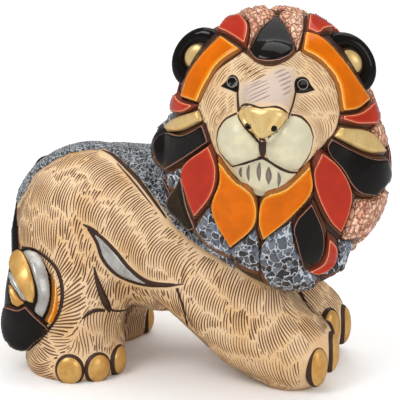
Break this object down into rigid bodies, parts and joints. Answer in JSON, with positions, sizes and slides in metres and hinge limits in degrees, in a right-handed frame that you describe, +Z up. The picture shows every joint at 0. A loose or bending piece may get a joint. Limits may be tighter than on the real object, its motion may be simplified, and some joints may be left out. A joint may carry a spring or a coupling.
{
  "type": "ceramic lion figurine",
  "caption": "Small glazed ceramic lion that stands on its paws with its head turned to its right side, its mane in raised carved locks.",
  "frame": {"origin": "centre of the footprint's bounding box, on the surface that the paws stand on", "axes": "+X forwards along the body, +Y to the lion's left, away from its turned face, +Z up"},
  "size_m": [0.1258, 0.0845, 0.1196],
  "materials": {
    "cream_bisque": "satin hand-carved clay, stained brown in the cuts",
    "black_glaze": "glossy black-brown glaze, thin and pale at the rims",
    "red_glaze": "glossy brick-red glaze, thin and pale at the rims",
    "orange_glaze": "glossy amber-orange glaze, thin and pale at the rims",
    "ivory_glaze": "ivory glaze with a soft sheen",
    "gold_lustre": "bright gold lustre over glaze",
    "silver_lustre": "bright platinum lustre over glaze",
    "coral_texture": "coral slip over crinkled clay, brown in the hollows",
    "grey_blue_texture": "grey-blue slip over rough clay, near black in the hollows"
  },
  "bodies": {
    "root": {"lion": "cream_bisque"}
  },
  "joints": []
}
